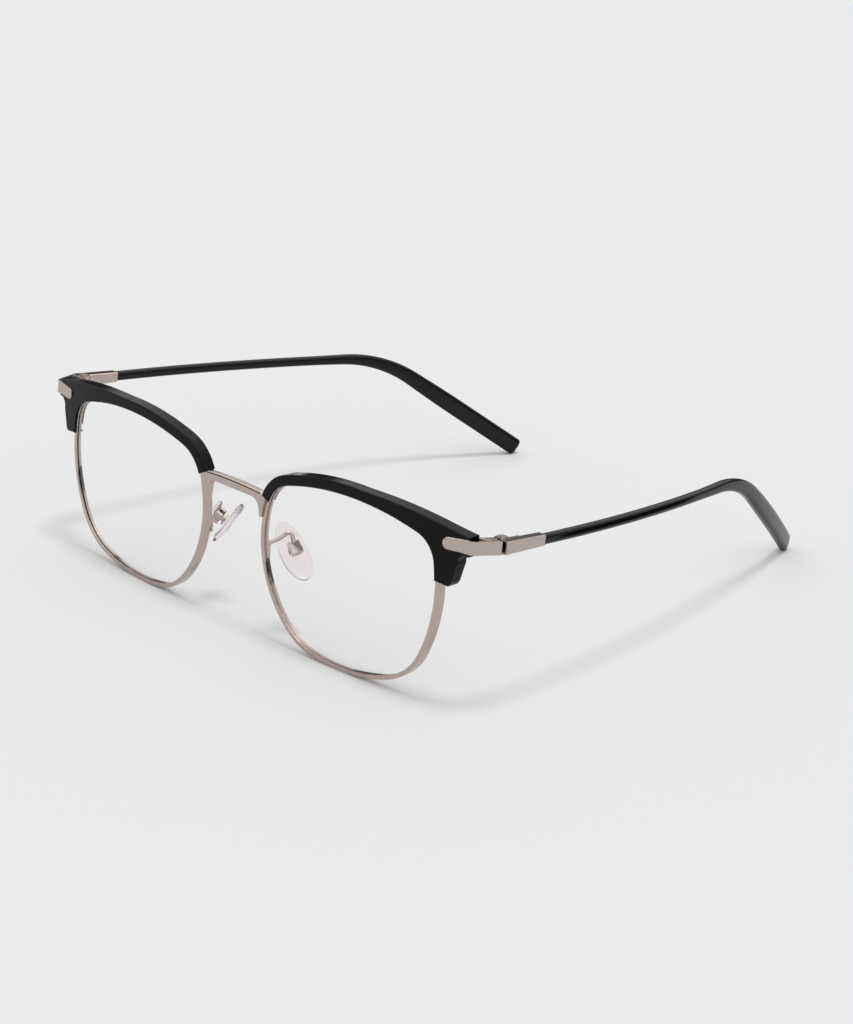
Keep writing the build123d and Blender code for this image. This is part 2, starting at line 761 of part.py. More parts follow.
box_half = tab_thickness / 2 + side_gap + box_wall
box_back = tab_radius + side_gap
box_depth = pad_pivot - box_mouth + box_back + box_wall
with BuildPart() as pad_box:
    with BuildSketch(pivot_plane):
        with Locations((0, away * (box_back + box_wall - box_depth / 2))):
            RectangleRounded(box_length, box_depth, box_round)
    extrude(amount=box_half, both=True)
    with BuildSketch(pivot_plane):
        with Locations((0, away * (box_back - box_depth / 2))):
            Rectangle(2 * box_length, box_depth)
    extrude(amount=box_half - box_wall, both=True, mode=Mode.SUBTRACT)
    with BuildSketch(pivot_plane):
        Circle(pad_screw_radius + fit)
    extrude(amount=2 * box_half, both=True, mode=Mode.SUBTRACT)
pieces["pad_box"] = pad_box.part
with BuildPart() as pad_screw:
    with BuildSketch(pivot_plane):
        Circle(pad_screw_radius)
    extrude(amount=box_half, both=True)
    with BuildSketch(pivot_plane.offset(-box_half)):
        Circle(pad_screw_head)
    extrude(amount=-pad_head_height)
pieces["pad_screw"] = pad_screw.part

foot_x = nose_gap / 2 + rim_inside / 2
foot_y = face_depth(foot_x, lens_z, 0) + half_rim
foot_top = lens_z - foot_drop
foot_middle = (foot_x, foot_y, foot_top - foot_length / 2)
arm_root = Vector(foot_x, foot_y + foot_thickness / 2, foot_top - 2 * arm_radius)
arm_end = pivot - pad_normal * (box_back + arm_radius) - pad_down * (box_length / 2 - arm_radius)
arm_points = [
    arm_root,
    arm_root + Vector(0, 0, arm_radius),
    arm_root + Vector(*arm_rise),
    arm_root + Vector(*arm_top),
    arm_end,
]
with BuildPart() as pad_arm:
    with BuildLine():
        arm_path = FilletPolyline(*arm_points, radius=arm_rounding)
    with BuildSketch(Plane(origin=arm_points[0], z_dir=arm_path % 0)):
        Circle(arm_radius)
    sweep(path=arm_path)
    with BuildSketch(Plane(origin=foot_middle, x_dir=(1, 0, 0), z_dir=(0, 1, 0))):
        Rectangle(foot_width, foot_length)
    extrude(amount=foot_thickness)
    add(pad_box.part, mode=Mode.SUBTRACT)
    add(rim.part, mode=Mode.SUBTRACT)
pieces["pad_arm"] = pad_arm.part

# ---- stand the pieces on the table, mirror the right half and write every node ----
everything = Compound(children=[piece.moved(Location((0, 0, 0))) for piece in pieces.values()])
span = everything.bounding_box()
stand = Location((0, -(span.min.Y + span.max.Y) / 2, -span.min.Z))
os.makedirs("parts", exist_ok=True)


def write(piece, name):
    """Label a finished piece and write it as its own file."""
    piece.label = name
    export_step(piece, f"parts/{name}.step")


write(bridge.part.moved(stand), "bridge")
for name, piece in pieces.items():
    left = piece.moved(stand)
    write(left, f"{name}_left")
    write(mirror(left, about=Plane.YZ), f"{name}_right")
shift = Vector(*stand.position)
print("hinge at", Vector(hinge_x, hinge_y, hinge_z) + shift, "along", hinge_axis)
print("pad pivot at", pivot + shift, "along", pivot_axis)
print("box", span.min + shift, span.max + shift)
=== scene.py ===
"""Browline spectacles: finishes, fine pieces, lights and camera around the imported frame.

Every length is in metres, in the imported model's own frame: +X is the wearer's left, -Y the front
and +Z up, with the table at z = 0.
"""

import json
import logging
import math
from dataclasses import dataclass
from enum import Enum
from typing import Dict, List, Sequence, Tuple, Union

import bmesh
import bpy
from mathutils import Matrix, Vector

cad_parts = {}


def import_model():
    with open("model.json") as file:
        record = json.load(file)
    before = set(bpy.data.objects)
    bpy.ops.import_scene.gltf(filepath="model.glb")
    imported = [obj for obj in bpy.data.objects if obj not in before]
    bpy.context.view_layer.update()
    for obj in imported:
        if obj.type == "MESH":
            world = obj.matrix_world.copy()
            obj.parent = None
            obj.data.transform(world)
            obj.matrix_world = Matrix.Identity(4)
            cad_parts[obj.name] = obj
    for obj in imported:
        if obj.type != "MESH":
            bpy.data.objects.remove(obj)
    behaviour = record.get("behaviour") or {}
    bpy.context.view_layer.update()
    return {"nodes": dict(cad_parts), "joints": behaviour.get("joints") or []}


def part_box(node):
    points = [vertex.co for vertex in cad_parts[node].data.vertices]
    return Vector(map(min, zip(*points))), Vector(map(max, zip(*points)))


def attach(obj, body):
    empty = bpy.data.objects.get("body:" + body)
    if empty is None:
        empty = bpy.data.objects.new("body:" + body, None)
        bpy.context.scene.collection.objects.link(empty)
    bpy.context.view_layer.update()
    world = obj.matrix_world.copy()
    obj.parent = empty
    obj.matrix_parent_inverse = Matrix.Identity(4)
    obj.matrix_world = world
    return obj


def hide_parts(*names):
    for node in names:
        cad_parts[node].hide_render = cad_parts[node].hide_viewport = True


LOG = logging.getLogger("spectacles")
MM = 0.001
Colour = Tuple[float, float, float]
Place = Tuple[float, float, float]


class Side(Enum):
    """The wearer's left or right half of the spectacles."""

    LEFT = "left"
    RIGHT = "right"

    @property
    def sign(self) -> float:
        """The sign of X on this side."""
        return 1.0 if self is Side.LEFT else -1.0

    def node(self, stem: str) -> str:
        """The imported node's name for a piece on this side."""
        return f"{stem}_{self.value}"


class NodeKit:
    """Small helpers for node trees of either kind."""

    @staticmethod
    def math(
        tree: bpy.types.NodeTree, operation: str, *values: Union[float, bpy.types.NodeSocket]
    ) -> bpy.types.NodeSocket:
        """A Math node's result.

        Args:
            tree: The tree that the node goes into.
            operation: The node's operation.
            values: The sockets or numbers that go in.

        Returns:
            The socket with the result.
        """
        node = tree.nodes.new("ShaderNodeMath")
        node.operation = operation
        for socket, value in zip(node.inputs, values):
            if isinstance(value, float):
                socket.default_value = value
            else:
                tree.links.new(value, socket)
        return node.outputs[0]


class ShaderKit:
    """Small helpers for materials."""

    @staticmethod
    def material(name: str) -> Tuple[bpy.types.Material, bpy.types.Node, bpy.types.Node]:
        """Makes a material with a plain Principled BSDF.

        Args:
            name: The material's name.

        Returns:
            The material, its Principled BSDF and its output node.
        """
        material = bpy.data.materials.new(name)
        material.use_nodes = True
        tree = material.node_tree
        tree.nodes.clear()
        output = tree.nodes.new("ShaderNodeOutputMaterial")
        shader = tree.nodes.new("ShaderNodeBsdfPrincipled")
        tree.links.new(shader.outputs["BSDF"], output.inputs["Surface"])
        return material, shader, output

    @staticmethod
    def coordinates(tree: bpy.types.NodeTree) -> bpy.types.NodeSocket:
        """The Object coordinates of a material's tree."""
        return tree.nodes.new("ShaderNodeTexCoord").outputs["Object"]


class FineGrain:
    """The shader group that gives a polished surface its faint marks.

    It varies a roughness by soft patches and fine speckle, shifts a colour slightly, and puts out
    a height for a Bump node. MARKED_RANGE is the span of the patches times the speckle that the
    roughness is spread over.
    """

    NAME = "fine grain"
    MARKED_RANGE = (0.12, 0.42)
    PATCH_DETAIL = 4.0
    SPECKLE_DETAIL = 2.0

    @classmethod
    def group(cls) -> bpy.types.NodeTree:
        """The group, built the first time it is asked for."""
        found = bpy.data.node_groups.get(cls.NAME)
        return found if found is not None else cls._build()

    @classmethod
    def _build(cls) -> bpy.types.NodeTree:
        """Builds the group's sockets and nodes.

        Returns:
            The group.
        """
        tree = bpy.data.node_groups.new(cls.NAME, "ShaderNodeTree")
        face = tree.interface
        face.new_socket("Position", in_out="INPUT", socket_type="NodeSocketVector")
        face.new_socket("Base", in_out="INPUT", socket_type="NodeSocketColor")
        face.new_socket("Worn", in_out="INPUT", socket_type="NodeSocketColor")
        for name, default in (
            ("Patch Scale", 120.0),
            ("Speckle Scale", 2500.0),
            ("Roughness Low", 0.1),
            ("Roughness High", 0.2),
            ("Tone Share", 0.3),
        ):
            socket = face.new_socket(name, in_out="INPUT", socket_type="NodeSocketFloat")
            socket.default_value = default
        face.new_socket("Colour", in_out="OUTPUT", socket_type="NodeSocketColor")
        face.new_socket("Roughness", in_out="OUTPUT", socket_type="NodeSocketFloat")
        face.new_socket("Height", in_out="OUTPUT", socket_type="NodeSocketFloat")
        nodes, links = tree.nodes, tree.links
        given = nodes.new("NodeGroupInput")
        result = nodes.new("NodeGroupOutput")
        patch = nodes.new("ShaderNodeTexNoise")
        speckle = nodes.new("ShaderNodeTexNoise")
        for noise, scale, detail in (
            (patch, "Patch Scale", cls.PATCH_DETAIL),
            (speckle, "Speckle Scale", cls.SPECKLE_DETAIL),
        ):
            noise.inputs["Detail"].default_value = detail
            links.new(given.outputs["Position"], noise.inputs["Vector"])
            links.new(given.outputs[scale], noise.inputs["Scale"])
        blend = NodeKit.math(tree, "MULTIPLY", patch.outputs["Fac"], speckle.outputs["Fac"])
        spread = nodes.new("ShaderNodeMapRange")
        spread.inputs["From Min"].default_value = cls.MARKED_RANGE[0]
        spread.inputs["From Max"].default_value = cls.MARKED_RANGE[1]
        links.new(blend, spread.inputs["Value"])
        links.new(given.outputs["Roughness Low"], spread.inputs["To Min"])
        links.new(given.outputs["Roughness High"], spread.inputs["To Max"])
        links.new(spread.outputs["Result"], result.inputs["Roughness"])
        share = NodeKit.math(tree, "MULTIPLY", patch.outputs["Fac"], given.outputs["Tone Share"])
        tone = nodes.new("ShaderNodeMix")
        tone.data_type = "RGBA"
        tone_in = {socket.identifier: socket for socket in tone.inputs}
        links.new(given.outputs["Base"], tone_in["A_Color"])
        links.new(given.outputs["Worn"], tone_in["B_Color"])
        links.new(share, tone_in["Factor_Float"])
        tone_out = {socket.identifier: socket for socket in tone.outputs}
        links.new(tone_out["Result_Color"], result.inputs["Colour"])
        links.new(blend, result.inputs["Height"])
        return tree


@dataclass(frozen=True)
class SolidFinish:
    """An opaque finish: plated metal, steel or moulded plastic with faint marks.

    Attributes:
        name: The material's name.
        base: The main colour, linear.
        worn: The colour that patches lean towards.
        metallic: 1 for metal, 0 for plastic.
        roughness: The lowest and highest roughness.
        patch_scale: How many soft patches a metre holds.
        speckle_scale: How many fine marks a metre holds.
        tone_share: How far the patches lean towards the worn colour.
        bump: The marks' height, in metres.
        specular: How strongly a plastic's surface mirrors, 0.5 being plain resin.
        edge_radius: How far the polish rounds the edges, in metres.
    """

    EDGE_SAMPLES = 6

    name: str
    base: Colour
    worn: Colour
    metallic: float
    roughness: Tuple[float, float]
    patch_scale: float = 160.0
    speckle_scale: float = 2600.0
    tone_share: float = 0.4
    bump: float = 2.0e-7
    specular: float = 0.5
    edge_radius: float = 1.2e-4

    def material(self) -> bpy.types.Material:
        """The finish's material, built the first time it is asked for."""
        found = bpy.data.materials.get(self.name)
        return found if found is not None else self._build()

    def _build(self) -> bpy.types.Material:
        """Builds the node tree round the fine grain group.

        Returns:
            The material.
        """
        material, shader, _ = ShaderKit.material(self.name)
        tree = material.node_tree
        grain = tree.nodes.new("ShaderNodeGroup")
        grain.node_tree = FineGrain.group()
        tree.links.new(ShaderKit.coordinates(tree), grain.inputs["Position"])
        grain.inputs["Base"].default_value = (*self.base, 1.0)
        grain.inputs["Worn"].default_value = (*self.worn, 1.0)
        grain.inputs["Patch Scale"].default_value = self.patch_scale
        grain.inputs["Speckle Scale"].default_value = self.speckle_scale
        grain.inputs["Roughness Low"].default_value = self.roughness[0]
        grain.inputs["Roughness High"].default_value = self.roughness[1]
        grain.inputs["Tone Share"].default_value = self.tone_share
        tree.links.new(grain.outputs["Colour"], shader.inputs["Base Color"])
        tree.links.new(grain.outputs["Roughness"], shader.inputs["Roughness"])
        rounded = tree.nodes.new("ShaderNodeBevel")
        rounded.samples = self.EDGE_SAMPLES
        rounded.inputs["Radius"].default_value = self.edge_radius
        bump = tree.nodes.new("ShaderNodeBump")
        bump.inputs["Distance"].default_value = self.bump
        tree.links.new(grain.outputs["Height"], bump.inputs["Height"])
        tree.links.new(rounded.outputs["Normal"], bump.inputs["Normal"])
        tree.links.new(bump.outputs["Normal"], shader.inputs["Normal"])
        shader.inputs["Metallic"].default_value = self.metallic
        shader.inputs["Specular IOR Level"].default_value = self.specular
        return material


@dataclass(frozen=True)
class ClearFinish:
    """A clear finish that lets the lamps through: lens resin or the pads' soft plastic.

    Attributes:
        name: The material's name.
        tint: The colour of what passes through, linear.
        roughness: The surface roughness.
        ior: The index of refraction.
        shade: The share of a lamp's light that the piece holds back.
        ripple: The height of the surface's slow unevenness, in metres.
    """

    RIPPLE_SCALE = 260.0

    name: str
    tint: Colour
    roughness: float
    ior: float
    shade: float
    ripple: float = 0.0

    def material(self) -> bpy.types.Material:
        """The finish's material, built the first time it is asked for."""
        found = bpy.data.materials.get(self.name)
        return found if found is not None else self._build()

    def _build(self) -> bpy.types.Material:
        """Builds glass that gives way to a plain transparent shader for the rays that light.

        Returns:
            The material.
        """
        material, shader, output = ShaderKit.material(self.name)
        tree = material.node_tree
        shader.inputs["Base Color"].default_value = (*self.tint, 1.0)
        shader.inputs["Roughness"].default_value = self.roughness
        shader.inputs["IOR"].default_value = self.ior
        shader.inputs["Transmission Weight"].default_value = 1.0
        if self.ripple > 0.0:
            noise = tree.nodes.new("ShaderNodeTexNoise")
            noise.inputs["Scale"].default_value = self.RIPPLE_SCALE
            tree.links.new(ShaderKit.coordinates(tree), noise.inputs["Vector"])
            bump = tree.nodes.new("ShaderNodeBump")
            bump.inputs["Distance"].default_value = self.ripple
            tree.links.new(noise.outputs["Fac"], bump.inputs["Height"])
            tree.links.new(bump.outputs["Normal"], shader.inputs["Normal"])
        passing = tree.nodes.new("ShaderNodeBsdfTransparent")
        passing.inputs["Color"].default_value = (*(1.0 - self.shade,) * 3, 1.0)
        path = tree.nodes.new("ShaderNodeLightPath")
        shadow, diffuse = path.outputs["Is Shadow Ray"], path.outputs["Is Diffuse Ray"]
        lighting = NodeKit.math(tree, "MAXIMUM", shadow, diffuse)
        mix = tree.nodes.new("ShaderNodeMixShader")
        tree.links.new(lighting, mix.inputs[0])
        tree.links.new(shader.outputs["BSDF"], mix.inputs[1])
        tree.links.new(passing.outputs["BSDF"], mix.inputs[2])
        tree.links.new(mix.outputs["Shader"], output.inputs["Surface"])
        return material


class Palette:
    """Every finish of the spectacles."""

    SILVER = SolidFinish(
        name="warm silver plating",
        base=(0.50, 0.42, 0.385),
        worn=(0.45, 0.37, 0.335),
        metallic=1.0,
        roughness=(0.06, 0.11),
    )
    STEEL = SolidFinish(
        name="turned screw steel",
        base=(0.55, 0.53, 0.50),
        worn=(0.42, 0.40, 0.38),
        metallic=1.0,
        roughness=(0.22, 0.34),
    )
    WIRE = SolidFinish(
        name="drawn core wire",
        base=(0.50, 0.50, 0.49),
        worn=(0.42, 0.42, 0.41),
        metallic=1.0,
        roughness=(0.28, 0.38),
    )
    BROW = SolidFinish(
        name="polished black brow",
        base=(0.0032, 0.0027, 0.0023),
        worn=(0.0055, 0.0047, 0.0042),
        metallic=0.0,
        roughness=(0.07, 0.12),
        tone_share=0.6,
        specular=0.12,
    )
    SLEEVE = SolidFinish(
        name="polished black sleeve",
        base=(0.0035, 0.0033, 0.0031),
        worn=(0.006, 0.0055, 0.0052),
        metallic=0.0,
        roughness=(0.11, 0.17),
        tone_share=0.6,
        specular=0.25,
    )
    LENS = ClearFinish(
        name="clear lens resin",
        tint=(0.985, 0.99, 0.988),
        roughness=0.0,
        ior=1.5,
        shade=0.07,
    )
    PAD = ClearFinish(
        name="clear soft pad",
        tint=(0.95, 0.88, 0.895),
        roughness=0.16,
        ior=1.3,
        shade=0.25,
        ripple=3.0e-5,
    )


class FormKit:
    """Small helpers for geometry node trees and the plain meshes they make."""

    @staticmethod
    def plain(
        name: str, source: bpy.types.Mesh, tree: bpy.types.NodeTree, values: Dict[str, object]
    ) -> bpy.types.Object:
        """Runs a mesh through a geometry node tree and keeps only the result.

        Args:
            name: The new piece's name.
            source: The mesh that goes in.
            tree: The geometry node tree.
            values: The tree's named inputs and their values.

        Returns:
            An object at the origin with a plain mesh and no modifier.
        """
        piece = bpy.data.objects.new(name, source)
        bpy.context.scene.collection.objects.link(piece)
        maker = piece.modifiers.new("maker", "NODES")
        maker.node_group = tree
        for item in tree.interface.items_tree:
            if item.item_type == "SOCKET" and item.in_out == "INPUT" and item.name in values:
                maker[item.identifier] = values[item.name]
        graph = bpy.context.evaluated_depsgraph_get()
        made = bpy.data.meshes.new_from_object(piece.evaluated_get(graph), depsgraph=graph)
        piece.modifiers.remove(maker)
        piece.data = made
        made.name = name
        return piece

    @staticmethod
    def sockets(tree: bpy.types.NodeTree, sizes: Sequence[Tuple[str, str, object]]) -> None:
        """Gives a tree its geometry sockets, its named sizes and its finish.

        Args:
            tree: The geometry node tree.
            sizes: The name, socket type and default value of each size.
        """
        face = tree.interface
        face.new_socket("Geometry", in_out="INPUT", socket_type="NodeSocketGeometry")
        for name, kind, default in sizes:
            face.new_socket(name, in_out="INPUT", socket_type=kind).default_value = default
        face.new_socket("Finish", in_out="INPUT", socket_type="NodeSocketMaterial")
        face.new_socket("Geometry", in_out="OUTPUT", socket_type="NodeSocketGeometry")

    @staticmethod
    def ending(
        tree: bpy.types.NodeTree, given: bpy.types.Node, shape: bpy.types.NodeSocket
    ) -> None:
        """Ends a tree: smooth shading, instances made real, and the finish.

        Args:
            tree: The geometry node tree.
            given: Its Group Input node.
            shape: The geometry to end with.
        """
        nodes, links = tree.nodes, tree.links
        smooth = nodes.new("GeometryNodeSetShadeSmooth")
        links.new(shape, smooth.inputs["Geometry"])
        real = nodes.new("GeometryNodeRealizeInstances")
        links.new(smooth.outputs["Geometry"], real.inputs["Geometry"])
        finish = nodes.new("GeometryNodeSetMaterial")
        links.new(real.outputs["Geometry"], finish.inputs["Geometry"])
        links.new(given.outputs["Finish"], finish.inputs["Material"])
        result = nodes.new("NodeGroupOutput")
        links.new(finish.outputs["Geometry"], result.inputs["Geometry"])

    @staticmethod
    def sharpen(mesh: bpy.types.Mesh, angle: float) -> None:
        """Marks a mesh's sharp edges, so that only its curved faces shade as one.

        Args:
            mesh: The mesh to mark.
            angle: The least angle between two faces that reads as an edge, in radians.
        """
        work = bmesh.new()
        work.from_mesh(mesh)
        for face in work.faces:
            face.smooth = True
        for edge in work.edges:
            edge.smooth = len(edge.link_faces) == 2 and edge.calc_face_angle() < angle
        work.to_mesh(mesh)
        work.free()


class SweptForm:
    """The geometry node tree that sweeps a changing squared-off section along a line.

    Each point of the line carries the section's half height and half thickness, how square it is,
    and the two directions that it is measured along. A thin round tube is swept first. Then each of
    its points moves out along the two directions to the section's own outline, a superellipse.
    """

    NAME = "swept form"
    SIDES = 56
    EDGE_ANGLE = math.radians(38.0)

    @classmethod
    def group(cls) -> bpy.types.NodeTree:
        """The tree, built the first time it is asked for."""
        found = bpy.data.node_groups.get(cls.NAME)
        return found if found is not None else cls._build()

    @classmethod
    def _build(cls) -> bpy.types.NodeTree:
        """Builds the sweep and the step that gives each ring its size.

        Returns:
            The tree.
        """
        tree = bpy.data.node_groups.new(cls.NAME, "GeometryNodeTree")
        FormKit.sockets(tree, (("Sides", "NodeSocketInt", cls.SIDES),))
        nodes, links = tree.nodes, tree.links
        given = nodes.new("NodeGroupInput")
        line = nodes.new("GeometryNodeMeshToCurve")
        links.new(given.outputs["Geometry"], line.inputs["Mesh"])
        spine = nodes.new("GeometryNodeStoreNamedAttribute")
        spine.data_type = "FLOAT_VECTOR"
        spine.inputs["Name"].default_value = "spine"
        links.new(line.outputs["Curve"], spine.inputs["Geometry"])
        links.new(cls._position(tree), spine.inputs["Value"])
        ring = nodes.new("GeometryNodeCurvePrimitiveCircle")
        ring.inputs["Radius"].default_value = MM
        links.new(given.outputs["Sides"], ring.inputs["Resolution"])
        sweep = nodes.new("GeometryNodeCurveToMesh")
        sweep.inputs["Fill Caps"].default_value = True
        links.new(spine.outputs["Geometry"], sweep.inputs["Curve"])
        links.new(ring.outputs["Curve"], sweep.inputs["Profile Curve"])
        centre = cls._stored(tree, "spine", "FLOAT_VECTOR")
        offset = cls._vector(tree, "SUBTRACT", cls._position(tree), centre)
        power = cls._stored(tree, "squareness", "FLOAT")
        shares = []
        for name in ("across", "rise"):
            direction = cls._stored(tree, name, "FLOAT_VECTOR")
            along = cls._vector(tree, "DOT_PRODUCT", offset, direction)
            shares.append(NodeKit.math(tree, "DIVIDE", along, MM))
        sizes = [NodeKit.math(tree, "ABSOLUTE", share, 0.0) for share in shares]
        powers = [NodeKit.math(tree, "POWER", size, power) for size in sizes]
        total = NodeKit.math(tree, "ADD", *powers)
        stretch = NodeKit.math(tree, "POWER", total, NodeKit.math(tree, "DIVIDE", -1.0, power))
        moved = centre
        halves = (("across", "half_thickness"), ("rise", "half_height"))
        for share, (name, half) in zip(shares, halves):
            size = NodeKit.math(tree, "MULTIPLY", share, cls._stored(tree, half, "FLOAT"))
            length = NodeKit.math(tree, "MULTIPLY", size, stretch)
            scaled = nodes.new("ShaderNodeVectorMath")
            scaled.operation = "SCALE"
            links.new(cls._stored(tree, name, "FLOAT_VECTOR"), scaled.inputs[0])
            links.new(length, scaled.inputs["Scale"])
            moved = cls._vector(tree, "ADD", moved, scaled.outputs[0])
        place = nodes.new("GeometryNodeSetPosition")
        links.new(sweep.outputs["Mesh"], place.inputs["Geometry"])
        links.new(moved, place.inputs["Position"])
        FormKit.ending(tree, given, place.outputs["Geometry"])
        return tree

    @staticmethod
    def _position(tree: bpy.types.NodeTree) -> bpy.types.NodeSocket:
        """The place of each point, as a new node gives it."""
        return tree.nodes.new("GeometryNodeInputPosition").outputs["Position"]

    @staticmethod
    def _stored(tree: bpy.types.NodeTree, name: str, kind: str) -> bpy.types.NodeSocket:
        """The value that the line's points carry under a name.

        Args:
            tree: The geometry node tree.
            name: The attribute's name.
            kind: Its data type.

        Returns:
            The socket that gives it.
        """
        node = tree.nodes.new("GeometryNodeInputNamedAttribute")
        node.data_type = kind
        node.inputs["Name"].default_value = name
        return node.outputs["Attribute"]

    @staticmethod
    def _vector(
        tree: bpy.types.NodeTree,
        operation: str,
        first: bpy.types.NodeSocket,
        second: bpy.types.NodeSocket,
    ) -> bpy.types.NodeSocket:
        """A Vector Math node's result.

        Args:
            tree: The geometry node tree.
            operation: The node's operation.
            first: The first vector.
            second: The second vector.

        Returns:
            The socket with the result, a number for a dot product.
        """
        node = tree.nodes.new("ShaderNodeVectorMath")
        node.operation = operation
        tree.links.new(first, node.inputs[0])
        tree.links.new(second, node.inputs[1])
        return node.outputs["Value" if operation == "DOT_PRODUCT" else "Vector"]


@dataclass(frozen=True)
class Station:
    """One place along a swept piece.

    Attributes:
        place: The middle of the section, in metres.
        across: The direction that the thickness is measured along.
        rise: The direction that the height is measured along.
        thickness: The section's whole thickness, in metres.
        height: Its whole height, in metres.
        squareness: 2 for an ellipse, more for a squarer section.
    """

    place: Vector
    across: Vector
    rise: Vector
    thickness: float
    height: float
    squareness: float


def swept_piece(
    name: str, stations: Sequence[Station], finish: bpy.types.Material
) -> bpy.types.Object:
    """Sweeps a section along its stations.

    Args:
        name: The new piece's name.
        stations: The stations in order.
        finish: The piece's material.

    Returns:
        The finished piece, with its flat ends kept sharp.
    """
    line = bpy.data.meshes.new(name + "_line")
    joins = [(index, index + 1) for index in range(len(stations) - 1)]
    line.from_pydata([tuple(station.place) for station in stations], joins, [])
    carried = {
        "across": ("FLOAT_VECTOR", [station.across for station in stations]),
        "rise": ("FLOAT_VECTOR", [station.rise for station in stations]),
        "half_thickness": ("FLOAT", [station.thickness / 2 for station in stations]),
        "half_height": ("FLOAT", [station.height / 2 for station in stations]),
        "squareness": ("FLOAT", [station.squareness for station in stations]),
    }
    for key, (kind, values) in carried.items():
        layer = line.attributes.new(key, kind, "POINT")
        if kind == "FLOAT":
            layer.data.foreach_set("value", values)
        else:
            layer.data.foreach_set("vector", [number for value in values for number in value])
    given = {"Sides": SweptForm.SIDES, "Finish": finish}
    piece = FormKit.plain(name, line, SweptForm.group(), given)
    for key in list(carried) + ["spine"]:
        if key in piece.data.attributes:
            piece.data.attributes.remove(piece.data.attributes[key])
    FormKit.sharpen(piece.data, SweptForm.EDGE_ANGLE)
    return piece


@dataclass
class TempleSleeve:
    """The black sleeve of one temple, from its housing to the bent tip.

    Lengths are in millimetres, measured behind the hinge along the temple's middle line.

    Attributes:
        side: The temple's side.
        joint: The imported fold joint, which gives the hinge's place and the temple's pitch.
        middle_out: How far the middle line starts outside the hinge's axis.
        start: Where the sleeve comes out of its housing.
        length: Where it ends.
        curve_radius: The radius of the temple's slow curve inwards.
        bend_start: Where the ear bend begins.
        bend_radius: The ear bend's radius.
        bend_angle: How far it turns down, in degrees.
        swell: Where the section starts and ends its growth.
        thin: The thickness and height ahead of the swell.
        broad: The thickness and height behind it.
        squareness: How square the section is ahead of the swell and behind it.
        tip_round: How far the rounding of the tip's end reaches.
        tip_draw: How much thickness and height that rounding takes, as shares of its reach.
        tip_stations: The number of steps in the rounding.
        step: The length of a step along the middle line.
        spacing: The distance between two stations.
    """

    side: Side
    joint: Dict[str, object]
    middle_out: float = 1.775
    start: float = 10.8
    length: float = 145.0
    curve_radius: float = 370.0
    bend_start: float = 82.0
    bend_radius: float = 43.0
    bend_angle: float = 30.4
    swell: Tuple[float, float] = (70.0, 123.0)
    thin: Tuple[float, float] = (2.2, 2.35)
    broad: Tuple[float, float] = (2.4, 4.7)
    squareness: Tuple[float, float] = (2.7, 3.6)
    tip_round: float = 1.1
    tip_draw: Tuple[float, float] = (0.9, 1.3)
    tip_stations: int = 8
    step: float = 0.25
    spacing: float = 1.0

    def build(self) -> bpy.types.Object:
        """Builds the sleeve, dresses it and puts it on its temple.

        Returns:
            The sleeve.
        """
        piece = swept_piece(
            self.side.node("sleeve"), self._stations(), Palette.SLEEVE.material()
        )
        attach(piece, self.side.node("temple"))
        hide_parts(self.side.node("temple_sleeve"))
        LOG.info("built %s", piece.name)
        return piece

    def _stations(self) -> List[Station]:
        """The stations, close together at the tip's rounded end.

        Returns:
            The stations from the housing to the tip.
        """
        walk = self._walk()
        distances = [self.start]
        while distances[-1] < self.length - self.tip_round - self.spacing:
            distances.append(distances[-1] + self.spacing)
        full = self.length - self.tip_round
        for index in range(self.tip_stations + 1):
            quarter_turn = math.pi / 2 * index / self.tip_stations
            distances.append(full + self.tip_round * math.sin(quarter_turn))
        return [self._station(walk, distance) for distance in distances]

    def _station(self, walk: List[Tuple[Vector, float, float]], distance: float) -> Station:
        """The section at a distance behind the hinge.

        Args:
            walk: The temple's middle line, one entry a step.
            distance: The distance, in millimetres.

        Returns:
            The station, in metres.
        """
        index = min(distance / self.step, len(walk) - 1.0)
        low = min(int(index), len(walk) - 2)
        share = index - low
        place = walk[low][0].lerp(walk[low + 1][0], share)
        turn = walk[low][1] + (walk[low + 1][1] - walk[low][1]) * share
        drop = walk[low][2] + (walk[low + 1][2] - walk[low][2]) * share
        sign = self.side.sign
        tilt = self._tilt()
        along = tilt @ self._heading(turn, drop)
        across = tilt @ Vector((math.cos(turn) * sign, math.sin(turn), 0.0))
        rise = across.cross(along) * sign
        grown = self._blend(distance)
        thickness = self.thin[0] + (self.broad[0] - self.thin[0]) * grown
        height = self.thin[1] + (self.broad[1] - self.thin[1]) * grown
        past = max(distance - (self.length - self.tip_round), 0.0) / self.tip_round
        pulled_in = self.tip_round * (1.0 - math.sqrt(max(1.0 - past * past, 0.0)))
        return Station(
            place * MM,
            across,
            rise,
            (thickness - self.tip_draw[0] * pulled_in) * MM,
            (height - self.tip_draw[1] * pulled_in) * MM,
            self.squareness[0] + (self.squareness[1] - self.squareness[0]) * grown,
        )

    def _blend(self, distance: float) -> float:
        """A smooth rise from 0 to 1 over the length where the tip swells.

        Args:
            distance: The distance behind the hinge, in millimetres.

        Returns:
            The share of the swell that is reached there.
        """
        share = (distance - self.swell[0]) / (self.swell[1] - self.swell[0])
        share = min(max(share, 0.0), 1.0)
        return share * share * (3.0 - 2.0 * share)

    def _walk(self) -> List[Tuple[Vector, float, float]]:
        """Walks the middle line from the hinge to the tip.

        Returns:
            The place, in millimetres, and the inward turn and drop, in radians, at each step.
        """
        tilt = self._tilt()
        start = Vector([value / MM for value in self.joint["pos_m"]])
        along_line = Vector((self.side.sign * self.middle_out, 0.0, 0.0))
        walk = []
        for index in range(int(self.length / self.step) + 1):
            distance = index * self.step
            walk.append((start + tilt @ along_line, *self._angles(distance)))
            along_line += self.step * self._heading(*self._angles(distance + self.step / 2))
        return walk

